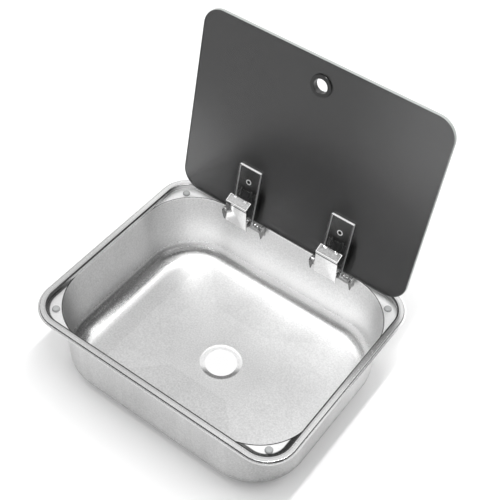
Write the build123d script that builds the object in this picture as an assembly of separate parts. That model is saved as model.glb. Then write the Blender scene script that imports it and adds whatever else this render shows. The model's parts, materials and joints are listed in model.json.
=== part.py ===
from build123d import *
from math import cos, pi, radians, sin, tan
import os

# Camper sink with a hinged glass lid, drawn with the lid open.
# X runs to the right along the hinge edge, Y from the front to the hinges, Z up.
# The origin is the centre of the waste hole, on the seat that takes the waste's flange.

# Rim, in millimetres
RIM_LENGTH = 425.0          # left to right, over the lip
RIM_DEPTH = 350.0           # front to back, over the lip
RIM_CORNER = 48.0           # radius of the lip's corners
LIP = 2.5                   # flat lip outside the raised bead
LIP_DROP = 2.5              # lip's top below the bead's top
BEAD = 10.0                 # width of the raised bead
BEAD_EDGE = 1.4             # rounding of the bead's two top edges
SHEET = 0.8                 # gauge of the stainless sheet

# Basin
RIM_TOP = 136.0             # bead's top above the waste seat
SHELF_DROP = 8.0            # corner shelves below the bead's top
MOUTH_CORNER = 85.0         # corner radius of the basin's mouth
DRAFT = 2.2                 # slope of the walls, degrees
FLOOR_EDGE = 5.0            # floor's outer edge above the waste seat
FLOOR_BEND = 30.0           # radius between walls and floor
WELL_FLAT = 78.0            # flat ground around the waste recess, all but round
WELL_SIDE = 1.0             # straight run left on each of its sides
WELL_RADIUS = 30.5          # waste recess
WELL_DEPTH = 2.2
WASTE_RADIUS = 24.2         # hole for a 1 1/2 inch waste
SHELF_HOLE = 2.0            # hole for a bumper's stem

# Corner bumpers
BUMPER_RADIUS = 5.5
BUMPER_HEIGHT = 3.0
BUMPER_SIDE = 19.0          # its axis from the rim's step at the left and right
BUMPER_END = 18.5           # and at the front and back
STEM_LENGTH = 3.2
STEM_BARB = 2.7
STEM_TAPER = 18.0           # degrees

# Lid
LEAN = 9.6                  # lean past upright when open, degrees
GLASS_SIDE_GAP = 4.75       # glass clear of the rim's step, left and right, when shut
GLASS_FRONT_GAP = 4.2
GLASS = 5.0
GLASS_CORNER = 30.0
GLASS_EDGE = 0.7            # ground chamfer
FINGER_DOWN = 38.0          # finger hole below the glass's free edge
FINGER_RADIUS = 10.5
FINGER_TUBE = 12.4
FINGER_FLANGE = 16.6
FINGER_COLLAR = 2.0
FINGER_ROUND = 1.2          # rounding of the collars' outer edges
FINGER_BORE_ROUND = 0.6

# Hinges
BASE_INSET = 0.7            # bases' ends from where the back wall starts to turn
PIVOT_FRONT = 10.0          # pin in front of the rim's step
PIVOT_DROP = 3.4            # pin below the bead's top
REST_GAP = 0.1              # what stays free at each end of the travel
GLASS_FROM_PIN = 8.2        # glass edge from the pin, along the glass
PIN_RADIUS = 2.5
PIN_FIT = 0.05
PIN_HEAD_RADIUS = 3.6
PIN_HEAD = 1.4
GAUGE = 1.5                 # gauge of plates and bases
COVER_GAUGE = 1.2
PAD = 0.5
PAD_INSET = 1.5             # pad's edges inside the plate's
PAD_CORNER = 3.0
PLATE_WIDTH = 37.4
PLATE_TOP = 96.2            # from the pin
PLATE_FLOOR_END = 54.2
PLATE_DEPTH = 4.0
PLATE_CORNER = 1.2
PLATE_NECK = 8.0            # from the pin to where the flanges are full depth
SCREW_UP = 70.7
SCREW_RADIUS = 2.4
SCREW_HEAD_RADIUS = 4.4
SCREW_HOLE = 3.2
SOCKET_RADIUS = 2.0
SOCKET_DEPTH = 1.2
CAP_RADIUS = 10.0
CAP_HEIGHT = 3.2
CAP_ROUND = 2.0
LUG_RADIUS = 4.4
NOSE_UP = -2.9              # stop nose on each lug, from the pin
NOSE_OUT = -5.3
NOSE_RADIUS = 1.0
COVER_INSET = 0.5           # cover's sides inside the plate's
COVER_BACK = (48.8, 17.5)   # cover's corners, along and off the glass from the pin
COVER_FRONT = (41.5, 28.6)
COVER_FOOT = (-1.3, 20.0)
COVER_BROW = 3.0            # lip under the cover's front edge
COVER_SETBACK = 0.9
COVER_RETURN = 3.4          # depth of its side returns
TOE_LENGTH = 5.0            # toe below the right return
TOE_WIDTH = 2.4
ARM_X = 9.0
ARM_WIDTH = 2.2
ARM_BEND = (41.5, 5.6)      # lowest point of an arm, along and off the glass from the pin
ARM_LANDING = 4.0           # length lying on the plate's floor
CHEEK_INSET = 4.5           # a cheek's middle inside the plate's side
CHEEK_LENGTH = 12.0         # seam of a cheek along the front plate
CHEEK_HOLLOW = 7.0          # radius of the hollow in its free edge
BASE_LENGTH = 70.0
BASE_TOP = 9.0              # below the bead's top
BASE_FOOT = 25.0
EAR_RADIUS = 4.5            # round front of an ear
EAR_FORWARD = 2.0           # its centre in front of the pin
EAR_TIP = 24.0              # ear's lowest point below the bead's top
EAR_ROOT = 16.0             # ear's lower end on the wall
EAR_TOP = 1.8               # ear's upper corner below the bead's top
EAR_EDGE = 0.8              # rounding of its corners
STOP_WIDTH = 2.4
STOP_HEIGHT = 4.4
STOP_BACK = 3.2             # stop's front end behind the pin
RIVET_X = 22.0
RIVET_DROP = 17.0
RIVET_RADIUS = 2.0
RIVET_HEAD_RADIUS = 3.8
RIVET_TAIL_RADIUS = 3.2
RIVET_HEAD = 1.3
WIRE = 1.5
WIRE_SIDES = 8              # flats that stand for the wire's round
COIL_RADIUS = 3.75
COIL_PITCH = 2.0
COIL_TURNS = 4
COIL_CLEAR = 2.5            # nearest turn's centre outside the lid plate
COIL_LEG = 5.0
COIL_FREE = radians(191)    # where the short leg leaves the coil
COIL_FIXED = radians(240 + 360 * COIL_TURNS)    # where the long leg runs to the base

# For all pieces
DOME = 0.8                  # rounded share of a domed head's height
CUT = 1.0                   # how far a cut runs past what it cuts
NEAR = 0.01                 # how close an edge lies to a level to count as on it

# Derived places
STEP_X = RIM_LENGTH / 2 - LIP - BEAD
STEP_Y = RIM_DEPTH / 2 - LIP - BEAD
STEP_CORNER = RIM_CORNER - LIP - BEAD
SHELF_Z = RIM_TOP - SHELF_DROP
LIP_Z = RIM_TOP - LIP_DROP
SEAT_Z = LIP_Z - SHEET
SLOPE = tan(radians(DRAFT))
BUMPER_X = STEP_X - BUMPER_SIDE
BUMPER_Y = STEP_Y - BUMPER_END
HINGE_X = STEP_X - MOUTH_CORNER - BASE_LENGTH / 2 - BASE_INSET
PIVOT_Y = STEP_Y - PIVOT_FRONT
PIVOT_Z = RIM_TOP - PIVOT_DROP
GLASS_LENGTH = 2 * (STEP_X - GLASS_SIDE_GAP)
GLASS_WIDTH = PIVOT_Y - GLASS_FROM_PIN + STEP_Y - GLASS_FRONT_GAP
GLASS_FACE = SHELF_DROP - BUMPER_HEIGHT - PIVOT_DROP - REST_GAP
FINGER_HOLE = (0, GLASS_FROM_PIN + GLASS_WIDTH - FINGER_DOWN)
COVER_WIDTH = PLATE_WIDTH - 2 * COVER_INSET
PLATE_BACK = GLASS_FACE + PAD
PLATE_FRONT = PLATE_BACK + GAUGE
UP = Vector(0, sin(radians(LEAN)), cos(radians(LEAN)))
OUT = Vector(0, -cos(radians(LEAN)), sin(radians(LEAN)))

# The lid's own plane: X along the pin, Y up the glass, Z off its inner face
LID = Plane(origin=(0, PIVOT_Y, PIVOT_Z), x_dir=(1, 0, 0), z_dir=OUT)


def block(length, width, corner, low, high):
    """Upright block with a rounded rectangle as its plan."""
    plan = Plane.XY.offset(low) * RectangleRounded(length, width, corner)
    return extrude(plan, amount=high - low)


def side_plate(profile, middle, thickness):
    """Plate cut to a side profile, square to X."""
    plane = Plane.YZ.offset(middle - thickness / 2)
    return extrude(plane * profile, amount=thickness)


def tube(centre, radius, low, high):
    """Cylinder square to the glass between two levels."""
    x, up = centre
    return extrude(Plane.XY.offset(low) * Pos(x, up) * Circle(radius), amount=high - low)


def drill(radius, through):
    """Cylinder that cuts a hole through a wall it is centred on."""
    return Cylinder(radius, 2 * (through + CUT))


def edges_at(solid, level):
    return solid.edges().filter_by_position(Axis.Z, level - NEAR, level + NEAR)


def round_edges(solid, level, radius, reach=None):
    """Round the edges that lie on one level, as far out as reach if it is given."""
    edges = edges_at(solid, level)
    if reach:
        edges = edges.filter_by(lambda edge: max(abs(edge.center().X), abs(edge.center().Y)) < reach)
    return fillet(edges, radius)


def rounded_hull(*corners):
    """Convex outline round circles given as (across, up, radius)."""
    edges = []
    for across, up, radius in corners:
        edges += (Pos(across, up) * Circle(radius)).edges()
    return make_hull(edges)


def basin(grow):
    """Room inside the basin, or the basin's outside when grown by the sheet."""
    mouth = Plane.XY.offset(SHELF_Z) * RectangleRounded(
        2 * (STEP_X + grow), 2 * (STEP_Y + grow), MOUTH_CORNER + grow)
    edge = FLOOR_EDGE - grow
    walls = extrude(mouth, amount=-(SHELF_Z - edge), taper=DRAFT)
    rim = walls.faces().sort_by(Axis.Z)[0]
    well = Plane.XY.offset(WELL_DEPTH - grow)
    flat = well * RectangleRounded(WELL_FLAT, WELL_FLAT, (WELL_FLAT - WELL_SIDE) / 2)
    room = walls + loft([rim, flat.face()], ruled=True)
    room = round_edges(room, edge, FLOOR_BEND + grow)
    return room + extrude(Plane.XY.offset(-grow) * Circle(WELL_RADIUS + grow), amount=WELL_DEPTH + grow)


def wall_y(z):
    """Inner face of the back wall at a height."""
    return STEP_Y - (SHELF_Z - z) * SLOPE


def rivet_axis(x):
    """Plane on the back wall's inner face at a rivet, its normal into the basin."""
    z = RIM_TOP - RIVET_DROP
    normal = Vector(0, -1, SLOPE).normalized()
    return Plane(origin=(x, wall_y(z), z), x_dir=(1, 0, 0), z_dir=normal)


def rivet_places():
    return [side * HINGE_X + end * RIVET_X for side in (-1, 1) for end in (-1, 1)]


def bumper_places():
    return {
        "front_left": (-BUMPER_X, -BUMPER_Y),
        "front_right": (BUMPER_X, -BUMPER_Y),
        "back_left": (-BUMPER_X, BUMPER_Y),
        "back_right": (BUMPER_X, BUMPER_Y),
    }


def make_bowl():
    """Pressed bowl: lip, raised bead, corner shelves, drafted basin and waste recess."""
    inner = (2 * STEP_X, 2 * STEP_Y, STEP_CORNER)
    bead = (2 * (STEP_X + BEAD), 2 * (STEP_Y + BEAD), STEP_CORNER + BEAD)
    crown = round_edges(block(*bead, SEAT_Z, RIM_TOP), RIM_TOP, BEAD_EDGE)
    lip = block(RIM_LENGTH, RIM_DEPTH, RIM_CORNER, SEAT_Z, LIP_Z)
    hollow = block(bead[0] - 2 * SHEET, bead[1] - 2 * SHEET, bead[2] - SHEET,
                   SEAT_Z, RIM_TOP - SHEET)
    step = block(inner[0] + 2 * SHEET, inner[1] + 2 * SHEET, inner[2] + SHEET,
                 SHELF_Z - SHEET, RIM_TOP - SHEET)
    shell = crown + lip - hollow + step + basin(SHEET)
    shell -= block(*inner, SHELF_Z, RIM_TOP)
    shell -= basin(0)
    shell = round_edges(shell, RIM_TOP, BEAD_EDGE, reach=STEP_X + BEAD / 2)
    shell -= drill(WASTE_RADIUS, WELL_DEPTH)
    for x, y in bumper_places().values():
        shell -= Pos(x, y, SHELF_Z) * drill(SHELF_HOLE, SHEET)
    for x in rivet_places():
        shell -= rivet_axis(x) * drill(RIVET_RADIUS, SHEET)
    return shell


def make_bumper(x, y):
    """Soft dome with a barbed stem through the shelf."""
    dome = extrude(Circle(BUMPER_RADIUS), amount=BUMPER_HEIGHT)
    dome = round_edges(dome, BUMPER_HEIGHT, BUMPER_HEIGHT * DOME)
    stem = extrude(Circle(SHELF_HOLE), amount=-SHEET)
    barb = Plane.XY.offset(-SHEET) * Circle(STEM_BARB)
    tip = extrude(barb, amount=-(STEM_LENGTH - SHEET), taper=STEM_TAPER)
    return Pos(x, y, SHELF_Z) * (dome + stem + tip)


def make_glass():
    """Tempered pane with ground edges, a finger hole and two screw holes."""
    back = GLASS_FACE - GLASS
    middle = GLASS_FROM_PIN + GLASS_WIDTH / 2
    pane = Plane.XY.offset(back) * Pos(0, middle) * RectangleRounded(GLASS_LENGTH, GLASS_WIDTH, GLASS_CORNER)
    glass = extrude(pane, amount=GLASS)
    glass = chamfer(edges_at(glass, GLASS_FACE) + edges_at(glass, back), GLASS_EDGE)
    glass -= tube(FINGER_HOLE, FINGER_TUBE, back - CUT, GLASS_FACE + CUT)
    for side in (-1, 1):
        glass -= tube((side * HINGE_X, SCREW_UP), SCREW_HOLE, back - CUT, GLASS_FACE + CUT)
    return LID * glass


def make_finger_ring_inner():
    """Collar on the lid's inner face, with the tube that lines the hole."""
    back, front = GLASS_FACE - GLASS - FINGER_COLLAR, GLASS_FACE + FINGER_COLLAR
    collar = round_edges(tube(FINGER_HOLE, FINGER_FLANGE, GLASS_FACE, front), front, FINGER_ROUND)
    ring = collar + tube(FINGER_HOLE, FINGER_TUBE, back, GLASS_FACE)
    ring -= tube(FINGER_HOLE, FINGER_RADIUS, back - CUT, front + CUT)
    return LID * round_edges(ring, front, FINGER_BORE_ROUND)


def make_finger_ring_outer():
    """Plain collar pressed over the tube on the lid's outer face."""
    front = GLASS_FACE - GLASS
    back = front - FINGER_COLLAR
    collar = round_edges(tube(FINGER_HOLE, FINGER_FLANGE, back, front), back, FINGER_ROUND)
    return LID * (collar - tube(FINGER_HOLE, FINGER_TUBE, back - CUT, front + CUT))


def make_pad(x):
    """Soft pad between the lid plate and the glass."""
    length = PLATE_TOP - PLATE_FLOOR_END - 2 * PAD_INSET
    middle = (PLATE_TOP + PLATE_FLOOR_END) / 2
    plan = Pos(x, middle) * RectangleRounded(PLATE_WIDTH - 2 * PAD_INSET, length, PAD_CORNER)
    pad = extrude(Plane.XY.offset(GLASS_FACE) * plan, amount=PAD)
    return LID * (pad - tube((x, SCREW_UP), SCREW_HOLE, GLASS_FACE - CUT, PLATE_BACK + CUT))


def make_lid_plate(x):
    """Pressed tray screwed to the glass, its two flanges running down to lugs on the pin."""
    length = PLATE_TOP - PLATE_FLOOR_END
    floor = Pos(0, PLATE_FLOOR_END + length / 2) * Rectangle(PLATE_WIDTH, length)
    plate = extrude(Plane.XY.offset(PLATE_BACK) * floor, amount=GAUGE)
    end = Pos(0, PLATE_TOP - GAUGE / 2) * Rectangle(PLATE_WIDTH, GAUGE)
    plate += extrude(Plane.XY.offset(PLATE_BACK) * end, amount=PLATE_DEPTH)
    middle, half = PLATE_BACK + PLATE_DEPTH / 2, GAUGE / 2
    run = PLATE_TOP - PLATE_NECK
    flange = Pos(PLATE_NECK + run / 2, middle) * Rectangle(run, PLATE_DEPTH)
    flange += rounded_hull(
        (0, 0, LUG_RADIUS),
        (PLATE_NECK, middle - PLATE_DEPTH / 2 + half, half),
        (PLATE_NECK, middle + PLATE_DEPTH / 2 - half, half))
    flange += rounded_hull((0, 0, LUG_RADIUS), (NOSE_UP, NOSE_OUT, NOSE_RADIUS))
    flange -= Circle(PIN_RADIUS + PIN_FIT)
    for side in (-1, 1):
        plate += side_plate(flange, side * (PLATE_WIDTH - GAUGE) / 2, GAUGE)
    corners = plate.edges().filter_by(Axis.Z).filter_by_position(Axis.Y, PLATE_TOP - NEAR, PLATE_TOP + NEAR)
    plate = fillet(corners, PLATE_CORNER)
    sink = Plane.XY.offset(PLATE_FRONT) * Pos(0, SCREW_UP) * Circle(SCREW_HEAD_RADIUS)
    plate -= extrude(sink, amount=-GAUGE, taper=45)
    plate -= tube((0, SCREW_UP), SCREW_HOLE, PLATE_BACK - CUT, PLATE_FRONT)
    return LID * (Pos(x, 0) * plate)


def bent_strip(points, gauge):
    """Closed outline of sheet bent along a line, its thickness to the left of the line."""
    line = Polyline(*points)
    return make_face(offset(line, amount=gauge, side=Side.LEFT, kind=Kind.INTERSECTION, closed=True))


def make_cover(x):
    """Bent cover over the pin: sloped roof, front plate, returns, toe, two arms and two cheeks."""
    back, front, foot = Vector(*COVER_BACK), Vector(*COVER_FRONT), Vector(*COVER_FOOT)
    down = (foot - front).normalized()
    inward = Vector(-down.Y, down.X)
    roof = [back, front, front + down * COVER_BROW]
    top = front + (inward + down) * COVER_SETBACK
    bottom = foot + inward * COVER_SETBACK
    cover = side_plate(bent_strip(roof, COVER_GAUGE), 0, COVER_WIDTH)
    cover += side_plate(bent_strip([top, bottom], COVER_GAUGE), 0, COVER_WIDTH)

    edge = (COVER_WIDTH - COVER_GAUGE) / 2
    for side in (-1, 1):
        cover += side_plate(bent_strip([top, bottom], COVER_RETURN), side * edge, COVER_GAUGE)
    toe_top = bottom + inward * (COVER_RETURN - TOE_WIDTH)
    toe = bent_strip([toe_top, toe_top + down * TOE_LENGTH], TOE_WIDTH)
    cover += side_plate(toe, edge, COVER_GAUGE)

    under_roof = back + (front - back).normalized() * 2 * COVER_GAUGE
    landing = Vector(PLATE_FLOOR_END + ARM_LANDING, PLATE_FRONT)
    arm = bent_strip([under_roof, Vector(*ARM_BEND), landing - Vector(ARM_LANDING, 0), landing], COVER_GAUGE)
    behind = bottom + inward * COVER_GAUGE / 2
    cheek = rounded_hull(
        (0, 0, LUG_RADIUS),
        (behind.X, behind.Y, COVER_GAUGE / 2),
        (behind.X - down.X * CHEEK_LENGTH, behind.Y - down.Y * CHEEK_LENGTH, COVER_GAUGE / 2))
    hollow = behind - down * (CHEEK_LENGTH - COVER_GAUGE) + inward * (CHEEK_HOLLOW + COVER_GAUGE)
    cheek -= Pos(hollow.X, hollow.Y) * Circle(CHEEK_HOLLOW)
    cheek -= Circle(PIN_RADIUS + PIN_FIT)
    for side in (-1, 1):
        cover += side_plate(arm, side * ARM_X, ARM_WIDTH)
        cover += side_plate(cheek, side * (PLATE_WIDTH / 2 - CHEEK_INSET), COVER_GAUGE)
    return LID * (Pos(x, 0) * cover)


def make_screw(x):
    """Countersunk screw with a hexagon socket."""
    head = extrude(Plane.XY.offset(PLATE_FRONT) * Circle(SCREW_HEAD_RADIUS), amount=-GAUGE, taper=45)
    shank = tube((0, 0), SCREW_RADIUS, GLASS_FACE - GLASS - CAP_HEIGHT / 2, PLATE_BACK)
    socket = Plane.XY.offset(PLATE_FRONT) * RegularPolygon(SOCKET_RADIUS, 6)
    return LID * (Pos(x, SCREW_UP) * (head + shank - extrude(socket, amount=-SOCKET_DEPTH)))


def make_cap(x):
    """Domed cap nut on the lid's outer face."""
    face = GLASS_FACE - GLASS
    cap = tube((0, 0), CAP_RADIUS, face - CAP_HEIGHT, face)
    cap = round_edges(cap, face - CAP_HEIGHT, CAP_ROUND)
    cap -= tube((0, 0), SCREW_RADIUS, face - CAP_HEIGHT / 2, face)
    return LID * (Pos(x, SCREW_UP) * cap)


def stop_level():
    """Top of the open stop, just under the lug's nose."""
    nose = UP.Z * NOSE_UP + OUT.Z * NOSE_OUT - NOSE_RADIUS
    return PIVOT_Z + nose - REST_GAP


def make_base(x):
    """Bent bracket riveted to the back wall: back plate, two ears and two stop blocks."""
    high, low = RIM_TOP - BASE_TOP, RIM_TOP - BASE_FOOT
    back = make_face(Polyline(
        (wall_y(low), low), (wall_y(high), high), (wall_y(high) - GAUGE, high),
        (wall_y(low) - GAUGE, low), close=True))
    base = side_plate(back, 0, BASE_LENGTH)
    wall = wall_y(high) - GAUGE
    ear = rounded_hull(
        (PIVOT_Y - EAR_FORWARD, PIVOT_Z, EAR_RADIUS),
        (wall, RIM_TOP - EAR_TOP - EAR_EDGE, EAR_EDGE),
        (wall_y(low) - GAUGE, RIM_TOP - EAR_ROOT, EAR_EDGE),
        (PIVOT_Y, RIM_TOP - EAR_TIP, EAR_EDGE))
    ear -= Pos(PIVOT_Y, PIVOT_Z) * Circle(PIN_RADIUS)
    stop_length = wall - PIVOT_Y - STOP_BACK
    stop = Pos(wall - stop_length / 2, stop_level() - STOP_HEIGHT / 2) * Rectangle(stop_length, STOP_HEIGHT)
    for side in (-1, 1):
        base += side_plate(ear, side * (BASE_LENGTH - GAUGE) / 2, GAUGE)
        base += side_plate(stop, side * (PLATE_WIDTH - GAUGE) / 2, STOP_WIDTH)
        base -= rivet_axis(side * RIVET_X) * drill(RIVET_RADIUS, GAUGE)
    return Pos(x, 0) * base


def make_pin(x):
    """Pin with a flat head at each end."""
    half = BASE_LENGTH / 2
    pin = extrude(Plane.YZ.offset(-half) * Circle(PIN_RADIUS), amount=BASE_LENGTH)
    for start in (-half - PIN_HEAD, half):
        pin += extrude(Plane.YZ.offset(start) * Circle(PIN_HEAD_RADIUS), amount=PIN_HEAD)
    return Pos(x, PIVOT_Y, PIVOT_Z) * pin


def make_rivets(x):
    """The two rivets of one base, headed on both sides of the wall."""
    rivets = []
    for side in (-1, 1):
        head = extrude(Plane.XY.offset(GAUGE) * Circle(RIVET_HEAD_RADIUS), amount=RIVET_HEAD)
        head = round_edges(head, GAUGE + RIVET_HEAD, RIVET_HEAD * DOME)
        shank = extrude(Plane.XY.offset(-SHEET) * Circle(RIVET_RADIUS), amount=SHEET + GAUGE)
        tail = extrude(Plane.XY.offset(-SHEET) * Circle(RIVET_TAIL_RADIUS), amount=-RIVET_HEAD)
        rivets.append(rivet_axis(x + side * RIVET_X) * (head + shank + tail))
    return Compound(children=rivets)


def coil_point(angle):
    """Point on the coil's centre line about the pin."""
    along = PLATE_WIDTH / 2 + COIL_CLEAR + COIL_PITCH * (angle - COIL_FREE) / (2 * pi)
    return Vector(along, COIL_RADIUS * cos(angle), COIL_RADIUS * sin(angle))


def coil_tangent(angle):
    rise = COIL_PITCH / (2 * pi)
    return Vector(rise, -COIL_RADIUS * sin(angle), COIL_RADIUS * cos(angle)).normalized()


def biarc(start, start_way, end, end_way):
    """Two arcs that leave and meet two points along given directions."""
    span, ways = end - start, start_way + end_way
    spread = 2 * (1 - start_way.dot(end_way))
    reach = (-span.dot(ways) + (span.dot(ways) ** 2 + spread * span.dot(span)) ** 0.5) / spread
    first, second = start + start_way * reach, end - end_way * reach
    middle, way = (first + second) * 0.5, (second - first).normalized()
    return [TangentArc(start, middle, tangent=start_way), TangentArc(middle, end, tangent=way)]


def coil_gap(steps=24):
    """Smallest clear space between two turns, measured on points of the centre line."""
    turns = (COIL_FIXED - COIL_FREE) / (2 * pi)
    angles = [COIL_FREE + 2 * pi * step / steps for step in range(int(turns * steps) + 1)]
    points = [coil_point(angle) for angle in angles]
    gaps = [(second - first).length
            for place, first in enumerate(points) for second in points[place + steps // 2:]]
    return min(gaps) - WIRE


def make_spring(x, side, base):
    """Torsion coil round the pin: one leg on the base, the other end cut short."""
    steps = round((COIL_FIXED - COIL_FREE) / pi)
    angles = [COIL_FREE + (COIL_FIXED - COIL_FREE) * step / steps for step in range(steps + 1)]
    first, last = coil_point(angles[0]), coil_point(angles[-1])
    edges = [Line(first - coil_tangent(angles[0]) * COIL_LEG, first)]
    for start, end in zip(angles, angles[1:]):
        edges += biarc(coil_point(start), coil_tangent(start), coil_point(end), coil_tangent(end))
    edges.append(Line(last, last + coil_tangent(angles[-1]) * (PIVOT_FRONT + COIL_RADIUS)))
    path = Wire(edges)
    section = Plane(origin=path @ 0, z_dir=path % 0) * RegularPolygon(WIRE / 2, WIRE_SIDES)
    spring = sweep(section, path=path)
    if side < 0:
        spring = spring.mirror(Plane.YZ)
    spring = Pos(x, PIVOT_Y, PIVOT_Z) * spring
    return max((spring - base).solids(), key=lambda solid: solid.volume)


def build_all():
    parts = {"bowl": make_bowl(), "lid_glass": make_glass()}
    for name, (x, y) in bumper_places().items():
        parts[f"{name}_bumper"] = make_bumper(x, y)
    parts["finger_ring_inner"] = make_finger_ring_inner()
    parts["finger_ring_outer"] = make_finger_ring_outer()
    for side, x in (("left", -HINGE_X), ("right", HINGE_X)):
        parts[f"{side}_hinge_pad"] = make_pad(x)
        parts[f"{side}_hinge_plate"] = make_lid_plate(x)
        parts[f"{side}_hinge_cover"] = make_cover(x)
        parts[f"{side}_hinge_screw"] = make_screw(x)
        parts[f"{side}_hinge_cap"] = make_cap(x)
        parts[f"{side}_hinge_base"] = make_base(x)
        parts[f"{side}_hinge_pin"] = make_pin(x)
        parts[f"{side}_hinge_rivets"] = make_rivets(x)
        parts[f"{side}_hinge_spring_left"] = make_spring(x, -1, parts[f"{side}_hinge_base"])
        parts[f"{side}_hinge_spring_right"] = make_spring(x, 1, parts[f"{side}_hinge_base"])
    return parts


os.makedirs("parts", exist_ok=True)
for name, solid in build_all().items():
    export_step(solid, f"parts/{name}.step")
    print(f"{name}: {solid.volume / 1000:.2f} cm3, valid {solid.is_valid}")
print(f"least gap between a coil's turns: {coil_gap():.2f} mm")
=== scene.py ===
from math import atan2, cos, radians, sin
import json
import bpy
from mathutils import Matrix, Vector

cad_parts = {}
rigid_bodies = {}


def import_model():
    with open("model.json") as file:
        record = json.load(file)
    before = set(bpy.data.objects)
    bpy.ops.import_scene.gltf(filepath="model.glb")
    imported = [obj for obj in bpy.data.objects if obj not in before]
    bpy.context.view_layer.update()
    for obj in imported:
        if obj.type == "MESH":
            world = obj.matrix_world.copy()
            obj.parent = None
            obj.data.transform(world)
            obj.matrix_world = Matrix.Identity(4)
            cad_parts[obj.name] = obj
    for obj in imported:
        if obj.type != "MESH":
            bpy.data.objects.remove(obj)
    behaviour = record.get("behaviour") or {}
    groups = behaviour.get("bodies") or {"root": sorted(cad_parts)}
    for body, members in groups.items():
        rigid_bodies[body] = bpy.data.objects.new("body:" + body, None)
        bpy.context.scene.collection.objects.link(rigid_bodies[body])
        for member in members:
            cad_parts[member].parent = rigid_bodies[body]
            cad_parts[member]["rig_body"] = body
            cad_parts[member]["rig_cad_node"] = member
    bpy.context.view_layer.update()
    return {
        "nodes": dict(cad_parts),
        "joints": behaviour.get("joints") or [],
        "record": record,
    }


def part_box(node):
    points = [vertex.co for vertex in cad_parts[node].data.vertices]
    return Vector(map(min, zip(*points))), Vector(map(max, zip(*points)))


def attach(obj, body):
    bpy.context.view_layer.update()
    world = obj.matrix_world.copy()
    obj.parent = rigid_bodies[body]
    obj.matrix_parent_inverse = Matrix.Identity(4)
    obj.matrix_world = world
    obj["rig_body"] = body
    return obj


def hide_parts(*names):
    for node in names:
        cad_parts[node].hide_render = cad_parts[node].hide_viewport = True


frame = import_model()
nodes = frame["nodes"]
record = frame["record"]
mm = 0.001
squareMm = mm * mm


# Shader maths: a socket that adds Math nodes when it is used in an expression

class Wire:
    def __init__(self, finish, socket):
        self.finish = finish
        self.socket = socket

    def maths(self, operation, first, second=0.0):
        return self.finish.node("ShaderNodeMath", {"operation": operation}, {0: first, 1: second})

    def __add__(self, other):
        return self.maths("ADD", self, other)

    def __radd__(self, other):
        return self.maths("ADD", other, self)

    def __sub__(self, other):
        return self.maths("SUBTRACT", self, other)

    def __rsub__(self, other):
        return self.maths("SUBTRACT", other, self)

    def __mul__(self, other):
        return self.maths("MULTIPLY", self, other)

    def __rmul__(self, other):
        return self.maths("MULTIPLY", other, self)

    def __abs__(self):
        return self.maths("ABSOLUTE", self)

    def root(self):
        return self.maths("SQRT", self)

    def over(self, other):  # the larger of the two
        return self.maths("MAXIMUM", self, other)

    def ramp(self, low, high):  # 0 below low, 1 above high
        settings = {"interpolation_type": "SMOOTHSTEP"}
        return self.finish.node("ShaderNodeMapRange", settings, {0: self, 1: low, 2: high})


class Finish:  # a material, or the world, and its nodes
    def __init__(self, name, holder=None):
        self.material = holder or bpy.data.materials.new(name)
        self.material.use_nodes = True
        self.tree = self.material.node_tree
        self.tree.nodes.clear()

    def node(self, kind, settings, sockets, output=0):
        made = self.tree.nodes.new(kind)
        for name, value in settings.items():
            setattr(made, name, value)
        for name, value in sockets.items():
            if isinstance(value, Wire):
                self.tree.links.new(value.socket, made.inputs[name])
            else:
                made.inputs[name].default_value = value
        return Wire(self, made.outputs[output] if len(made.outputs) else None)

    def place(self):
        return self.node("ShaderNodeTexCoord", {}, {}, "Object")

    def facing(self):
        return self.node("ShaderNodeNewGeometry", {}, {}, "Normal")

    def axes(self, vector):
        split = self.node("ShaderNodeSeparateXYZ", {}, {"Vector": vector})
        return [Wire(self, output) for output in split.socket.node.outputs]

    def noise(self, scale, detail, stretch=(1, 1, 1)):
        spread = self.node("ShaderNodeMapping", {}, {"Vector": self.place(), "Scale": stretch})
        return self.node("ShaderNodeTexNoise", {}, {"Vector": spread, "Scale": scale, "Detail": detail})

    def mix(self, amount, first, second):  # colours: sockets 0, 6 and 7 in, 2 out
        return self.node("ShaderNodeMix", {"data_type": "RGBA"}, {0: amount, 6: first, 7: second}, 2)

    def colour(self, red, green, blue):
        return self.node("ShaderNodeCombineColor", {}, {"Red": red, "Green": green, "Blue": blue})

    def beyond(self, x, y, corner):  # distance outside an upright rounded rectangle
        middleX, middleY, radius = corner
        overX = (abs(x) - middleX).over(0)
        overY = (abs(y) - middleY).over(0)
        return (overX * overX + overY * overY).root() - radius

    def bump(self, height, distance, strength):
        return self.node("ShaderNodeBump", {}, {"Height": height, "Distance": distance, "Strength": strength})

    def rays(self, *kinds):  # 1 for a ray of one of these kinds, else 0
        path = self.node("ShaderNodeLightPath", {}, {}).socket.node
        seen = Wire(self, path.outputs[kinds[0]])
        for kind in kinds[1:]:
            seen = seen.over(Wire(self, path.outputs[kind]))
        return seen

    def surface(self, sockets):
        self.close(self.node("ShaderNodeBsdfPrincipled", {}, sockets))
        return self.material

    def close(self, shader):
        self.node("ShaderNodeOutputMaterial", {}, {"Surface": shader})


def grey(level):
    return (level, level, level, 1)


# The bowl's satin steel: its grey, with painted light and shade, and its roughness follow place and slope

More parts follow.
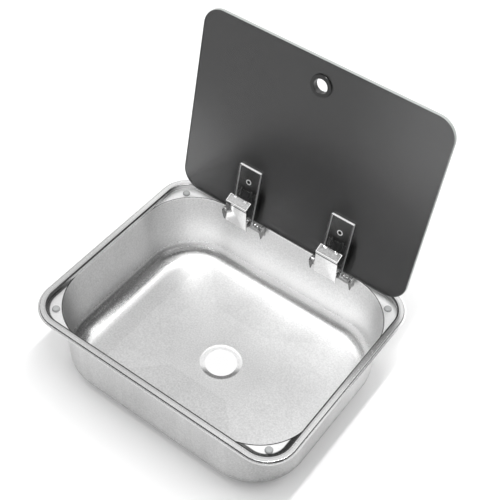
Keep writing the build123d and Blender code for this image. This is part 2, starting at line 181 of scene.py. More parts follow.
steelLook = {
    "dark": 0.78,
    "light": 0.86,
    "least": 0.03,           # share of its grey that the darkest place keeps
    "cloudScale": 9.0,       # patterns, per metre
    "cloudTone": (0.3, 0.7),
    "grainScale": 420.0,
    "grainDepth": 0.04 * mm,
    "grainStrength": 0.5,
    "grainLostOnRim": 0.8,
    "streakScale": 60.0,
    "streakStretch": (1, 1, 0.06),
    "detail": 3.0,
    "streakDetail": 4.0,
    "dullEdges": 0.85,       # how much less metallic the turned edges are, so that their painted dark lines show
    "floorRoughness": 0.46,
    "bendRoughness": 0.26,
    "wallRoughness": 0.30,
    "rimRoughness": 0.26,
    "shelfRoughness": 0.18,  # added on the corner shelves
    "spread": 0.08,
}
steelShades = {              # painted light and shade: how much paler a place is painted, or darker below 0; grain and streaks are the steel's own marks
    "front": -0.21,          # painted shade, the basin darker towards its front
    "outside": -0.14,        # painted shade on the outer walls, growing towards the right
    "foot": -0.32,           # painted shadow on their lowest part, by the floor
    # painted shade on the left wall; painted light on the back wall low down, turning to painted shade higher
    # up
    "leftWall": -0.18,
    "backWall": 0.14,
    "leftBend": -0.42,       # painted dark reflection on the steep part of the left bend
    # painted light on the back bend
    "backBend": 0.14,
    # painted highlight on the rim, turning to painted shade at its right end
    "rimTop": 0.10,
    "beadBack": -0.28,       # painted shade on the bead at the back right
    "beadInner": -0.14,      # painted shade on the bead's inner half
    "turned": -0.93,         # painted dark lines on the turned edges
    "shelfEdge": -0.80,      # painted dark line on the shelves' edge at the basin
    "shelfFoot": -0.70,      # painted shadow on the shelves along their riser
    "recess": 0.30,          # painted light on the waste recess
    "recessNear": -0.85,     # and painted shade on its near side
    "ring": 0.30,            # painted highlight on the recess's edge
    # painted shade on the edge's near side
    "ringNear": -0.60,
    "leftFold": -0.05,       # painted shade on the floor left of its left fold
    "frontFold": -0.05,      # painted shade in front of its front fold
    "backFold": -0.04,       # painted shade behind its back fold
    "grain": 0.45,           # contrast of the brushed grain
    "streaks": -0.14,        # and of the drawing marks on the outside
}
steelHeights = {             # where a mask rises from 0 to 1, by height
    "bend": (5 * mm, 9 * mm),
    "wall": (28 * mm, 42 * mm),
    "rim": (124 * mm, 130 * mm),
    "shelf": (127 * mm, 127.8 * mm),
    "overShelf": (128.2 * mm, 129 * mm),
    "riser": (127.5 * mm, 128.5 * mm),
    "bead": (133.6 * mm, 134 * mm),
    "beadTop": (134 * mm, 134.6 * mm),
    "foot": (3 * mm, 45 * mm),
    "overFloor": (5 * mm, 6 * mm),
    "overRecess": (10 * mm, 20 * mm),
    "upBackWall": (40 * mm, 110 * mm),
}
steelSlopes = {              # by a share of the surface's normal
    "shelf": (0.90, 0.99),   # its upward share
    "steep": (0.10, 0.30),
    "pastSteep": (0.60, 0.76),
    "riser": (0.94, 0.995),
    "bead": (0.87, 0.988),
    "leftBend": (0.20, 0.80),    # its share to the right
    "leftWall": (0.60, 0.95),
    "backBend": (0.10, 0.60),    # to the front
    "backWall": (0.40, 0.95),
    "outside": (0.02, 0.10),     # outwards, times the distance in metres
    "turned": (0.01, 0.05),
}
steelPlaces = {              # by place
    "front": (-120 * mm, 120 * mm),          # along y
    "litBack": (125 * mm, 150 * mm),
    "backShelves": (0, 60 * mm),
    "leftCorners": (85 * mm, 125 * mm),      # along y, to both sides
    "outsideRight": (100 * mm, 200 * mm),    # along x
    "rimRight": (120 * mm, 210 * mm),
    "leftEnd": (180 * mm, 195 * mm),         # along x, to the left
    "backRight": (230 * mm, 330 * mm),       # along x + y
    "litRight": (100 * mm, 250 * mm),
    "brink": (1.7 * mm, 2.5 * mm),           # past the bead's inner step
    "outerHalf": (4 * mm, 5 * mm),
    "shelfFoot": (-4.2 * mm, -2.2 * mm),
    "shelfEdge": (0.9 * mm, 1.5 * mm),       # past the mouth
    "recess": (-0.5 * mm, 0.5 * mm),         # past the waste recess
    "ring": (0.5 * mm, 1.3 * mm),            # from the middle of its ring, to both sides
    "near": (4 * mm, 20 * mm),               # towards the front right
    "farFront": (80 * mm, 180 * mm),
    "leftFold": (-139.6 * mm, -138.4 * mm),  # the folds, each by its own lines
    "frontFold": (-1.5 * mm, 1.5 * mm),
    "pastFront": (49 * mm, 52 * mm),
    "backFold": (9 * mm, 13 * mm),
    "pastBack": (75 * mm, 78 * mm),
    "pastBackSide": (50 * mm, 54 * mm),
}
steelShapes = {
    "mouth": (115.0 * mm, 77.5 * mm, 85.0 * mm),   # a corner's middle and its radius
    "step": (164.5 * mm, 127.0 * mm, 35.5 * mm),
    "recessRadius": 30.5 * mm,
    "ringMiddle": 0.4 * mm,
    "frontRight": (0.57, -0.81),     # direction
    "frontFoldMiddle": -5 * mm,
    "backFoldSlope": 0.67,
    "frontShelfFoot": 3.8 * mm,      # how much wider the shelves' painted shadow foot is there
    "outsideGain": 1.1,              # how much a painted shade or light grows or fades along the bowl
    "rimFade": 2.0,
    "backWallFade": 2.6,
    "litBackGain": 1.1,
    "litFade": 0.5,
    "leftEndFade": 0.75,
}


def steelMasks(steel):
    heights, slopes, places, shapes = steelHeights, steelSlopes, steelPlaces, steelShapes
    x, y, height = steel.axes(steel.place())
    right, back, up = steel.axes(steel.facing())
    outward = x * right + y * back
    inner = (0 - outward).ramp(*slopes["turned"])
    mask = {name: height.ramp(*heights[name]) for name in ("bend", "wall", "rim")}
    belowRim = 1 - mask["rim"]

    # walls and bends: painted shade and light
    outside = outward.ramp(*slopes["outside"]) * belowRim
    mask["front"] = 1 - y.ramp(*places["front"])
    mask["outside"] = outside * (1 + shapes["outsideGain"] * x.ramp(*places["outsideRight"]))
    mask["streaks"] = outside  # where the streaks show
    mask["foot"] = outside * (1 - height.ramp(*heights["foot"]))
    mask["leftWall"] = right.ramp(*slopes["leftWall"]) * inner * belowRim
    mask["backWall"] = (0 - back).ramp(*slopes["backWall"]) * inner * belowRim \
        * (1 - shapes["backWallFade"] * height.ramp(*heights["upBackWall"]))
    mask["leftBend"] = up.ramp(*slopes["steep"]) * (1 - up.ramp(*slopes["pastSteep"])) \
        * (1 - mask["wall"]) * right.ramp(*slopes["leftBend"])
    mask["backBend"] = (0 - back).ramp(*slopes["backBend"]) * mask["bend"] * (1 - mask["wall"]) * inner

    # bead and its turned edges: painted dark lines, fading where lit and at the left end, and painted light
    # and shade on the bead
    fromStep = steel.beyond(x, y, shapes["step"])
    raised = height.ramp(*heights["beadTop"])
    brink = (1 - fromStep.ramp(*places["brink"])) * raised
    leftEnd = (0 - x).ramp(*places["leftEnd"]) * (1 - abs(y).ramp(*places["leftCorners"]))
    riser = inner * height.ramp(*heights["riser"]) * (1 - up.ramp(*slopes["riser"])) \
        * (1 - shapes["leftEndFade"] * leftEnd)
    bead = outward.ramp(*slopes["turned"]) * height.ramp(*heights["bead"]) * (1 - up.ramp(*slopes["bead"]))
    lit = (x + y).ramp(*places["litRight"]).over(shapes["litBackGain"] * y.ramp(*places["litBack"]))
    mask["turned"] = (riser.over(brink) * (1 - shapes["litFade"] * lit)).over(bead)
    mask["rimTop"] = mask["rim"] * (1 - shapes["rimFade"] * x.ramp(*places["rimRight"]))
    mask["beadBack"] = raised * (x + y).ramp(*places["backRight"])
    mask["beadInner"] = raised * (1 - fromStep.ramp(*places["outerHalf"]))

    # corner shelves: painted dark line at their edge and painted shadow at their foot
    frontRight = shapes["frontRight"][0] * x + shapes["frontRight"][1] * y
    mask["shelf"] = height.ramp(*heights["shelf"]) * (1 - height.ramp(*heights["overShelf"])) \
        * up.ramp(*slopes["shelf"])
    mask["shelfEdge"] = (1 - steel.beyond(x, y, shapes["mouth"]).ramp(*places["shelfEdge"])) * mask["shelf"]
    widened = fromStep + shapes["frontShelfFoot"] * frontRight.ramp(*places["farFront"])
    mask["shelfFoot"] = mask["shelf"] * widened.ramp(*places["shelfFoot"]) \
        * (1 - y.ramp(*places["backShelves"]))

    # waste recess: painted light on its far side, painted shade on its near side
    fromRecess = (x * x + y * y).root() - shapes["recessRadius"]
    low = 1 - height.ramp(*heights["overRecess"])
    near = frontRight.ramp(*places["near"])
    mask["recess"] = (1 - fromRecess.ramp(*places["recess"])) * low
    mask["recessNear"] = mask["recess"] * near
    mask["ring"] = (1 - abs(fromRecess - shapes["ringMiddle"]).ramp(*places["ring"])) * low
    mask["ringNear"] = mask["ring"] * near

    # folds of the floor, shown by painted shade
    floor = 1 - height.ramp(*heights["overFloor"])
    mask["leftFold"] = floor * (1 - x.ramp(*places["leftFold"]))
    mask["frontFold"] = floor * (0 - y - abs(x - shapes["frontFoldMiddle"])).ramp(*places["frontFold"]) \
        * (0 - y).ramp(*places["pastFront"])
    mask["backFold"] = floor * (x + y).ramp(*places["backFold"]) * y.ramp(*places["pastBack"]) \
        * (y - shapes["backFoldSlope"] * x).ramp(*places["pastBackSide"])
    return mask


def satinSteel():
    steel = Finish("satinSteel")
    look = steelLook
    cloud = steel.noise(look["cloudScale"], look["detail"]).ramp(*look["cloudTone"])
    grain = steel.noise(look["grainScale"], look["detail"]) - 0.5  # both around 0
    streak = steel.noise(look["streakScale"], look["streakDetail"], look["streakStretch"]) - 0.5
    mask = steelMasks(steel)
    mask["grain"] = grain * (1 - look["grainLostOnRim"] * mask["rim"])
    mask["streaks"] = mask["streaks"] * streak
    # the grey: painted light and shade, with the steel's own grain and streaks
    shade = 1
    for place, amount in steelShades.items():
        shade = shade + amount * mask[place]
    level = (look["dark"] + (look["light"] - look["dark"]) * cloud) * shade.over(look["least"])
    roughness = look["floorRoughness"] + look["shelfRoughness"] * mask["shelf"] \
        + (look["bendRoughness"] - look["floorRoughness"]) * mask["bend"] \
        + (look["wallRoughness"] - look["bendRoughness"]) * mask["wall"] \
        + (look["rimRoughness"] - look["wallRoughness"]) * mask["rim"]
    return steel.surface({
        "Base Color": steel.colour(level, level, level),
        "Metallic": 1 - look["dullEdges"] * mask["turned"],
        "Roughness": roughness + look["spread"] * grain,
        "Normal": steel.bump(grain, look["grainDepth"], look["grainStrength"]),
    })


# Other finishes: one fine pattern varies colour, gloss and grain

plating = {"scale": 700.0, "detail": 3.0, "tone": (0.3, 0.7), "spread": 0.10, "depth": 0.03 * mm,
           "strength": 0.4}
chrome = {"scale": 600.0, "detail": 3.0, "tone": (0.3, 0.7), "roughness": 0.02, "spread": 0.05,
          "metallic": 1.0}
plainLooks = {
    "polishedChrome": {**chrome, "dark": grey(0.54), "light": grey(0.62)},
    # painted shade: the covers' roof darker than their front, of the same chrome
    "coverRoof": {**chrome, "dark": grey(0.27), "light": grey(0.40)},
    "brushedSteel": {**plating, "dark": grey(0.50), "light": grey(0.62), "roughness": 0.20, "metallic": 1.0},
    # painted shadow on the covers' arms
    "coverArms": {**plating, "dark": grey(0.10), "light": grey(0.16), "roughness": 0.25, "metallic": 1.0},
    "plateFace": {**plating, "dark": grey(0.07), "light": grey(0.12), "roughness": 0.30, "metallic": 1.0},
    "plateEdge": {**plating, "dark": grey(0.75), "light": grey(0.95), "roughness": 0.40, "metallic": 0.3},
    "flangeShade": {**plating, "dark": grey(0.52), "light": grey(0.68), "roughness": 0.35, "metallic": 0.3},
    # painted light on the bases' tops, painted shade on their other faces
    "baseSteel": {**plating, "dark": grey(0.74), "light": grey(0.96), "roughness": 0.30, "metallic": 0.3},
    "baseShade": {**plating, "dark": grey(0.36), "light": grey(0.48), "roughness": 0.30, "metallic": 0.3},
    # painted highlight on the edges and tops of the plates and covers
    "paintedHighlightEdge": {**plating, "dark": grey(0.82), "light": grey(0.94), "roughness": 0.35, "metallic": 0.1},
    # painted dark lines along the bases' sharp edges
    "paintedEdgeShade": {**plating, "dark": grey(0.02), "light": grey(0.05), "roughness": 0.35, "metallic": 0.1},
    "groundGlassEdge": {"scale": 1500.0, "detail": 2.0,
                        "dark": (0.30, 0.32, 0.31, 1), "light": (0.42, 0.44, 0.43, 1),
                        "roughness": 0.30, "spread": 0.15, "depth": 0.03 * mm, "strength": 0.4},
    "blackPlastic": {"scale": 900.0, "detail": 2.0, "dark": grey(0.006), "light": grey(0.010),
                     "roughness": 0.20, "spread": 0.12, "depth": 0.02 * mm, "strength": 0.4},
    "blackRubber": {"scale": 700.0, "detail": 3.0, "dark": grey(0.008), "light": grey(0.016),
                    "roughness": 0.60, "spread": 0.20, "depth": 0.04 * mm, "strength": 0.5},
    "clearRubber": {"scale": 400.0, "detail": 2.0,
                    "dark": (0.46, 0.47, 0.47, 1), "light": (0.58, 0.59, 0.59, 1),
                    "roughness": 0.20, "spread": 0.08, "ior": 1.25, "transmission": 0.35},
    "springWire": {"scale": 1400.0, "detail": 2.0, "stretch": (0.2, 1, 1),
                   "dark": grey(0.60), "light": grey(0.85),
                   "roughness": 0.20, "spread": 0.12, "metallic": 1.0},
}
plainSockets = {"metallic": "Metallic", "ior": "IOR", "transmission": "Transmission Weight"}


def plainFinish(name):
    finish = Finish(name)
    look = plainLooks[name]
    pattern = finish.noise(look["scale"], look["detail"], look.get("stretch", (1, 1, 1)))
    tone = pattern.ramp(*look["tone"]) if "tone" in look else pattern
    sockets = {
        "Base Color": finish.mix(tone, look["dark"], look["light"]),
        "Roughness": look["roughness"] + look["spread"] * pattern,
    }
    for setting, socket in plainSockets.items():
        if setting in look:
            sockets[socket] = look[setting]
    if "depth" in look:
        sockets["Normal"] = finish.bump(pattern, look["depth"], look["strength"])
    return finish.surface(sockets)


glassLook = {
    # the glass's own colour, to which the painted reflections are added
    "tintAndReflection": 0.026,
    # painted reflections: lighter to the right and high up, to the left and low down, and low down
    "right": 0.052, "rightX": (20 * mm, 200 * mm), "rightUp": (120 * mm, 420 * mm),
    "left": 0.042, "leftX": (80 * mm, 190 * mm), "leftUp": (200 * mm, 340 * mm),
    "low": 0.012, "lowUp": (160 * mm, 300 * mm),
    "blue": 1.01,            # share of blue to red and green
    "roughness": 0.24, "spread": 0.04, "scale": 14.0, "detail": 2.0,
    "ior": 1.52, "transmission": 1.0,
}
glassShades = [              # painted dark reflections of the hinges: two pairs of darker ovals, at side from x on both sides
    {"x": 0, "side": 77 * mm, "up": 190 * mm, "wide": 29.4 * mm, "high": 62.5 * mm,
     "fade": (0.3, 1.6), "amount": 0.42},
    {"x": 24 * mm, "side": 79 * mm, "up": 168 * mm, "wide": 8.33 * mm, "high": 38.5 * mm,
     "fade": (0.5, 1.2), "amount": 0.90},
]


def smokedGlass():  # painted reflections: lighter towards its upper right, lower left and foot, and dark where it mirrors the hinges
    glass = Finish("smokedGlass")
    look = glassLook
    haze = glass.noise(look["scale"], look["detail"])
    x, _, height = glass.axes(glass.place())
    # the glass's own colour plus painted reflections
    tintAndReflection = look["tintAndReflection"] + look["right"] * x.ramp(*look["rightX"]) * height.ramp(*look["rightUp"]) \
        + look["left"] * (0 - x).ramp(*look["leftX"]) * (1 - height.ramp(*look["leftUp"])) \
        + look["low"] * (1 - height.ramp(*look["lowUp"]))
    # the painted dark reflections of the hinges
    for oval in glassShades:
        across = (abs(x - oval["x"]) - oval["side"]) * (1 / oval["wide"])
        along = (height - oval["up"]) * (1 / oval["high"])
        inside = 1 - (across * across + along * along).ramp(*oval["fade"])
        tintAndReflection = tintAndReflection * (1 - oval["amount"] * inside)
    return glass.surface({
        "Base Color": glass.colour(tintAndReflection, tintAndReflection, tintAndReflection * look["blue"]),
        "Roughness": look["roughness"] + look["spread"] * haze,
        "IOR": look["ior"],
        "Transmission Weight": look["transmission"],
    })


finishes = {                 # by the record's slots
    "satin_steel": satinSteel(),
    "chrome_plate": plainFinish("polishedChrome"),
    "bright_steel": plainFinish("brushedSteel"),
    "spring_wire": plainFinish("springWire"),
    "smoked_glass": smokedGlass(),
    "black_plastic": plainFinish("blackPlastic"),
    "black_rubber": plainFinish("blackRubber"),
    "clear_grey_rubber": plainFinish("clearRubber"),
}
slotOf = {part["node"]: part["material_slot"] for part in record["subparts"]}
for name, cad in nodes.items():
    cad.data.materials.clear()
    cad.data.materials.append(finishes[slotOf[name]])
print("materials on", len(nodes), "pieces")


# Tools for the pieces

hinge = frame["joints"][0]
pivot = Vector(hinge["pos_m"])
lean = radians(9.6)          # of the open lid
lidUp = Vector((0, sin(lean), cos(lean)))
lidOut = Vector((0, -cos(lean), sin(lean)))
lidFrame = Matrix((          # columns: right, up the lid, out of it, and the pin
    (1, lidUp.x, lidOut.x, pivot.x),
    (0, lidUp.y, lidOut.y, pivot.y),
    (0, lidUp.z, lidOut.z, pivot.z),
    (0, 0, 0, 1)))
mergeLook = {"distance": 0.002 * mm, "flat": radians(1.0)}


def nothingSelected():
    if bpy.context.object and bpy.context.object.mode != "OBJECT":
        bpy.ops.object.mode_set(mode="OBJECT")
    bpy.ops.object.select_all(action="DESELECT")


def choose(piece):
    nothingSelected()
    piece.select_set(True)
    bpy.context.view_layer.objects.active = piece


def clearPick(piece, kind):
    choose(piece)
    bpy.ops.object.mode_set(mode="EDIT")
    bpy.ops.mesh.select_mode(type=kind)
    bpy.ops.mesh.select_all(action="DESELECT")
    bpy.ops.object.mode_set(mode="OBJECT")


def pickFaces(piece, rule):
    clearPick(piece, "FACE")
    for face in piece.data.polygons:
        face.select = rule(face)
    bpy.ops.object.mode_set(mode="EDIT")


def pickEdges(piece, rule):
    clearPick(piece, "EDGE")
    corners = piece.data.vertices
    for edge in piece.data.edges:
        edge.select = rule(corners[edge.vertices[0]].co, corners[edge.vertices[1]].co)
    bpy.ops.object.mode_set(mode="EDIT")


def applyPlace(piece):
    choose(piece)
    bpy.ops.object.transform_apply(location=True, rotation=True, scale=True)


def modify(piece, kind, **settings):
    choose(piece)
    modifier = piece.modifiers.new(kind.title(), kind)
    for name, value in settings.items():
        setattr(modifier, name, value)
    bpy.ops.object.modifier_apply(modifier=modifier.name)


def cut(piece, tool):
    modify(piece, "BOOLEAN", operation="DIFFERENCE", object=tool, solver="EXACT")
    bpy.data.objects.remove(tool)


def fit(piece, name, body, node):  # the piece stands for the CAD node
    piece.name = name
    piece.data.name = name
    applyPlace(piece)
    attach(piece, body)
    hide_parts(node)


def copyOf(node):  # a CAD node's mesh as an object of its own, merged
    piece = nodes[node].copy()
    piece.data = nodes[node].data.copy()
    piece.parent = None
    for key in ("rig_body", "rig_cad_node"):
        del piece[key]
    bpy.context.scene.collection.objects.link(piece)
    choose(piece)
    bpy.ops.object.mode_set(mode="EDIT")
    bpy.ops.mesh.select_all(action="SELECT")
    bpy.ops.mesh.remove_doubles(threshold=mergeLook["distance"])
    bpy.ops.mesh.dissolve_limited(angle_limit=mergeLook["flat"])
    bpy.ops.object.mode_set(mode="OBJECT")
    return piece


# The pane, its edges ground

paneLook = {
    "length": 390.5 * mm,
    "width": 302.6 * mm,
    "thick": 5.0 * mm,
    "corner": 30.0 * mm,
    "cornerSegments": 20,
    "fromPin": 8.2 * mm,     # up the lid to the pane's lower edge
    "face": 1.5 * mm,        # out from the pin to the pane's front
    "grind": 0.7 * mm,
    "grindFrom": radians(40),
    "finger": {"x": 0, "up": 272.8 * mm, "radius": 12.4 * mm},
    "screws": {"x": 79.3 * mm, "up": 70.7 * mm, "radius": 3.2 * mm},
    "holeVertices": 64,
    "flat": 0.99,            # share of the normal by which a face counts as the pane's front or back
    "smooth": radians(30),
}


def cutHole(pane, hole, side=1):
    look = paneLook
    bpy.ops.mesh.primitive_cylinder_add(vertices=look["holeVertices"], radius=hole["radius"],
                                        depth=8 * look["thick"], location=(side * hole["x"], hole["up"], 0))
    cut(pane, bpy.context.object)


def makePane():  # flat on the lid's own axes, then stood up in the lid's frame
    look = paneLook
    thick = look["thick"]
    nothingSelected()
    bpy.ops.mesh.primitive_cube_add(
        size=1, location=(0, look["fromPin"] + look["width"] / 2, look["face"] - thick / 2))
    pane = bpy.context.object
    pane.scale = (look["length"], look["width"], thick)
    applyPlace(pane)
    pickEdges(pane, lambda a, b: abs(a.z - b.z) > thick / 2)
    bpy.ops.mesh.bevel(offset=look["corner"], segments=look["cornerSegments"], affect="EDGES")
    nothingSelected()
    modify(pane, "BEVEL", width=look["grind"], segments=1, limit_method="ANGLE", angle_limit=look["grindFrom"])
    cutHole(pane, look["finger"])
    for side in (-1, 1):
        cutHole(pane, look["screws"], side)
    pane.data.materials.append(finishes["smoked_glass"])
    pane.data.materials.append(plainFinish("groundGlassEdge"))
    for face in pane.data.polygons:
        face.material_index = 0 if abs(face.normal.z) > look["flat"] else 1
    choose(pane)
    bpy.ops.object.shade_smooth_by_angle(angle=look["smooth"])
    pane.matrix_world = lidFrame
    fit(pane, "smokedPane", "lid", "lid_glass")


# Metal parts: copies with their edges broken and their rounds smooth

edgeWidth = {                # 0 leaves the edges sharp
    "hinge_cover": 0.45 * mm,
    "hinge_plate": 0.30 * mm,
    "hinge_base": 0.30 * mm,
    "hinge_cap": 0.20 * mm,
    "hinge_screw": 0.30 * mm,
    "hinge_pin": 0.25 * mm,
    "hinge_rivets": 0.0,
    "hinge_spring_left": 0.0,
    "hinge_spring_right": 0.0,
}
edgeLook = {"segments": 2, "from": radians(35), "smooth": radians(35), "smoothWire": radians(50)}
onSink = ("hinge_base", "hinge_pin", "hinge_rivets", "hinge_spring_left", "hinge_spring_right")
metal = {name: plainFinish(name) for name in (
    "plateEdge", "plateFace", "flangeShade", "baseSteel", "baseShade",
    "coverRoof", "coverArms", "paintedHighlightEdge", "paintedEdgeShade")}
largeFace = 40 * squareMm
sameWay = 0.985              # share of a normal from which a face looks the way that a large one does


def repaint(piece, finish, rule):
    piece.data.materials.append(finish)
    for face in piece.data.polygons:
        if rule(face):
            face.material_index = len(piece.data.materials) - 1


def sharpEdge(piece):  # rule for the narrow faces between a piece's large ones
    flats = [face.normal.copy() for face in piece.data.polygons if face.area > largeFace]
    return lambda face: all(abs(face.normal.dot(flat)) < sameWay for flat in flats)


# Screws

# the pale ring is a painted highlight
screwLook = {"ring": 2.8 * mm, "blur": 0.3 * mm, "dark": 0.01, "light": 0.85, "metallic": 0.4,
             "roughness": 0.30, "spread": 0.15, "scale": 1200.0, "detail": 2.0}


def screwHead():  # a painted highlight ring, pale around a dark socket, over the pane's screw holes
    head = Finish("screwHead")
    look = screwLook
    hole = paneLook["screws"]
    x, y, height = head.axes(head.place())
    side = abs(x) - hole["x"]
    along = y * lidUp.y + height * lidUp.z - (pivot.dot(lidUp) + hole["up"])
    fromMiddle = (side * side + along * along).root()
    rim = fromMiddle.ramp(look["ring"] - look["blur"], look["ring"] + look["blur"])
    scratch = head.noise(look["scale"], look["detail"])
    return head.surface({
        "Base Color": head.mix(rim, grey(look["dark"]), grey(look["light"])),
        "Metallic": look["metallic"],
        "Roughness": look["roughness"] + look["spread"] * scratch,
    })


headFinish = screwHead()


def paintScrew(screw):
    screw.data.materials[0] = headFinish


# Plates, darker on their floor than on their bent edges

plateLook = {
    "floor": 100 * squareMm,     # the least area of its floor
    "floorFaces": 0.98,          # least shares of a normal: outwards,
    "flangeFaces": 0.9,          # to the right
    "topFaces": 0.7,             # and up the lid
    "half": 10 * mm,             # a face further left is of the left flange
}


def paintPlate(plate):
    look = plateLook
    plate.data.materials[0] = metal["plateEdge"]
    repaint(plate, metal["plateFace"],
            lambda face: face.normal.dot(lidOut) > look["floorFaces"] and face.area > look["floor"])
    repaint(plate, metal["flangeShade"],
            lambda face: face.normal.x > look["flangeFaces"] and face.area > largeFace)
    # painted highlight on the top faces and the left flange
    middle = sum(corner.co.x for corner in plate.data.vertices) / len(plate.data.vertices)
    repaint(plate, metal["paintedHighlightEdge"],
            lambda face: face.normal.dot(lidUp) > look["topFaces"] or face.center.x < middle - look["half"])


# Bases: painted light on top, painted shade on their other faces, painted dark lines on their sharp edges

topFaces = 0.5               # least upward share of a top's normal


def paintBase(base):
    base.data.materials[0] = metal["baseSteel"]
    repaint(base, metal["baseShade"], lambda face: face.normal.z < topFaces)
    repaint(base, metal["paintedEdgeShade"], sharpEdge(base))


# Covers

coverLook = {
    **chrome,
    "dark": grey(0.50),
    "light": grey(0.62),
    "line": grey(0.04),      # painted shadow under the brow
    "browFoot": 38.4 * mm,   # where that painted shadow line is, up the lid from the pin
    "lineFoot": 35.4 * mm,
    "fade": 0.4 * mm,
    "roof": 0.835 * lidUp + 0.549 * lidOut,
    "roofFaces": 0.97,
    # width of the roof's painted highlight rim
    "roofRim": 0.9 * mm,
    "armsOut": 16 * mm,      # out from the pin to where the arms end; they are painted dark as shadow
}


def chromeCover():  # painted shadow under the brow, where the front steps back
    front = Finish("coverFront")
    look = coverLook
    haze = front.noise(look["scale"], look["detail"])
    _, y, height = front.axes(front.place())
    along = y * lidUp.y + height * lidUp.z - pivot.dot(lidUp)
    under = along.ramp(look["lineFoot"] - look["fade"], look["lineFoot"] + look["fade"]) \
        * (1 - along.ramp(look["browFoot"], look["browFoot"] + look["fade"]))
    plain = front.mix(haze.ramp(*look["tone"]), look["dark"], look["light"])
    return front.surface({
        "Base Color": front.mix(under, plain, look["line"]),
        "Metallic": look["metallic"],
        "Roughness": look["roughness"] + look["spread"] * haze,
    })


coverFront = chromeCover()


def paintCover(cover):
    look = coverLook
    cover.data.materials[0] = coverFront
    # painted highlights on the sharp edges and, after the inset, on a rim round the roof
    repaint(cover, metal["paintedHighlightEdge"], sharpEdge(cover))
    rimIndex = len(cover.data.materials) - 1
    onRoof = lambda face: face.normal.dot(look["roof"]) > look["roofFaces"]
    # painted shade: the roof darker than the front
    repaint(cover, metal["coverRoof"], onRoof)
    pickFaces(cover, onRoof)
    bpy.ops.mesh.inset(thickness=look["roofRim"], use_boundary=True)
    bpy.ops.object.mode_set(mode="OBJECT")
    for face in cover.data.polygons:
        if onRoof(face) and not face.select:
            face.material_index = rimIndex
    # painted shadow on the arms
    repaint(cover, metal["coverArms"], lambda face: (face.center - pivot).dot(lidOut) < look["armsOut"])


paintOf = {
    "hinge_cover": paintCover,
    "hinge_plate": paintPlate,
    "hinge_base": paintBase,
    "hinge_screw": paintScrew,
}


def softenEdges():
    look = edgeLook
    for node in nodes:
        part = node.partition("_")[2]
        if part not in edgeWidth:
            continue
        piece = copyOf(node)
        if edgeWidth[part]:
            modify(piece, "BEVEL", width=edgeWidth[part], segments=look["segments"], limit_method="ANGLE",
                   angle_limit=look["from"], use_clamp_overlap=True)
        choose(piece)
        bpy.ops.object.shade_smooth_by_angle(angle=look["smoothWire" if "spring" in part else "smooth"])
        if part in paintOf:
            paintOf[part](piece)
        fit(piece, node + "_dressed", "sink" if part in onSink else "lid", node)


makePane()
softenEdges()
print("pieces made")


# Camera, floor and lights

cameraView = {
    "place": (0.5176, -0.7371, 1.2686),
    "turn": (41.554, -2.803, 36.283),    # degrees
    "lens": 74.89,
    "sensor": 36.0,
}

nothingSelected()
bpy.ops.object.camera_add(location=cameraView["place"], rotation=[radians(a) for a in cameraView["turn"]])
camera = bpy.context.object
camera.data.lens = cameraView["lens"]
camera.data.sensor_width = cameraView["sensor"]
bpy.context.scene.camera = camera

studio = {
    "floorHalf": 4.0,
    "floorWhite": 0.10,      # share of the floor that the shadows can't darken
    "floorColour": 0.90,
    "discRadius": 24 * mm,   # painted light: glowing paper under the waste hole, in the bowl's shadow
    "discLift": 0.1 * mm,
    "discVertices": 64,
    "keyPlace": (0.26, 0.0, 2.6),
    "keyWidth": 0.10,        # a strip along Y
    "keyLength": 1.6,
    "keyPower": 34.0,
    "dark": 0.01,            # the room between the windows
    "core": 0.28,            # share of a window's glow that is at full level
    "backdropFull": 15.0,    # degrees above the horizon up to which the backdrop is white
    "backdropEnd": 25.0,
}
backdropRays = ("Is Camera Ray", "Is Glossy Ray", "Is Transmission Ray")
windows = [  # azimuth, elevation, level and degrees to where the glow ends
    (90, 38, 1.70, 36),
    (300, 60, 0.90, 36),
    (240, 60, 1.25, 36),
    (225, 38, 0.25, 36),
    (180, 38, 0.75, 36),
    (0, 60, 0.40, 36),
    (135, 38, 0.35, 36),
    (45, 38, 0.40, 36),
    (180, 60, 0.29, 36),
    (40, 48, 1.80, 22),
]


def glowing(finish):
    return finish.node("ShaderNodeEmission", {}, {"Color": grey(1.0), "Strength": 1.0})


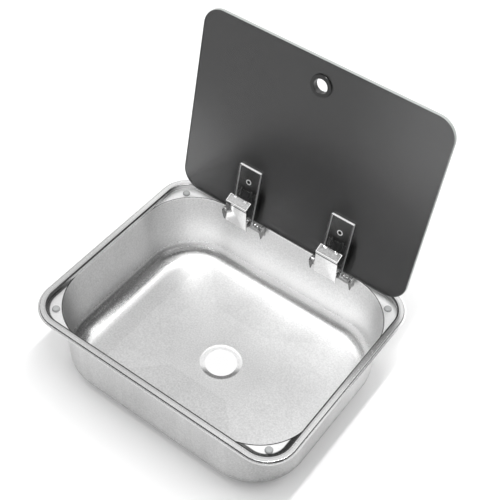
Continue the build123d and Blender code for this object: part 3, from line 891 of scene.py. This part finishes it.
def addFloor(low):
    nothingSelected()
    bpy.ops.mesh.primitive_plane_add(size=2 * studio["floorHalf"], location=(0, 0, low))
    floor = bpy.context.object
    floor.name = "studioFloor"
    paper = Finish("floorPaper")
    matte = paper.node("ShaderNodeBsdfDiffuse", {}, {"Color": grey(studio["floorColour"])})
    seen = paper.rays(*backdropRays)
    shaders = {0: seen * studio["floorWhite"], 1: matte, 2: glowing(paper)}
    paper.close(paper.node("ShaderNodeMixShader", {}, shaders))
    floor.data.materials.append(paper.material)


# a glowing disc: painted light on the floor under the waste hole
def addDisc(low):
    nothingSelected()
    bpy.ops.mesh.primitive_circle_add(vertices=studio["discVertices"], radius=studio["discRadius"],
                                      fill_type="NGON", location=(0, 0, low + studio["discLift"]))
    disc = bpy.context.object
    disc.name = "floorUnderDrain"
    bright = Finish("paintedLightUnderDrain")
    bright.close(glowing(bright))
    disc.data.materials.append(bright.material)


def towards(azimuth, elevation):
    flat = cos(radians(elevation))
    return (flat * cos(radians(azimuth)), flat * sin(radians(azimuth)), sin(radians(elevation)))


def addRoom():
    world = bpy.data.worlds.new("studioRoom")
    room = Finish("room", world)
    heading = room.node("ShaderNodeTexCoord", {}, {}, "Generated")
    level = studio["dark"]
    for azimuth, elevation, strength, glow in windows:
        sides = {0: heading, 1: towards(azimuth, elevation)}
        nearness = room.node("ShaderNodeVectorMath", {"operation": "DOT_PRODUCT"}, sides, "Value")
        level = level + strength * nearness.ramp(cos(radians(glow)), cos(radians(studio["core"] * glow)))
    up = room.axes(heading)[2]
    above = up.ramp(sin(radians(studio["backdropFull"])), sin(radians(studio["backdropEnd"])))
    level = level.over(room.rays(*backdropRays) * (1 - above))
    backdrop = room.node("ShaderNodeBackground", {}, {"Color": grey(1.0), "Strength": level})
    room.node("ShaderNodeOutputWorld", {}, {"Surface": backdrop})
    bpy.context.scene.world = world


def addKey():
    x, y, z = studio["keyPlace"]
    bpy.ops.object.light_add(type="AREA", location=(x, y, z), rotation=(0, atan2(x, z), 0))
    key = bpy.context.object
    key.name = "keyLamp"
    key.data.shape = "RECTANGLE"
    key.data.size = studio["keyWidth"]
    key.data.size_y = studio["keyLength"]
    key.data.energy = studio["keyPower"]


floorHeight = min(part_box(name)[0].z for name in nodes)
addFloor(floorHeight)
addDisc(floorHeight)
addRoom()
addKey()
bpy.context.scene.view_settings.view_transform = "Standard"
print("camera, floor and lights set")
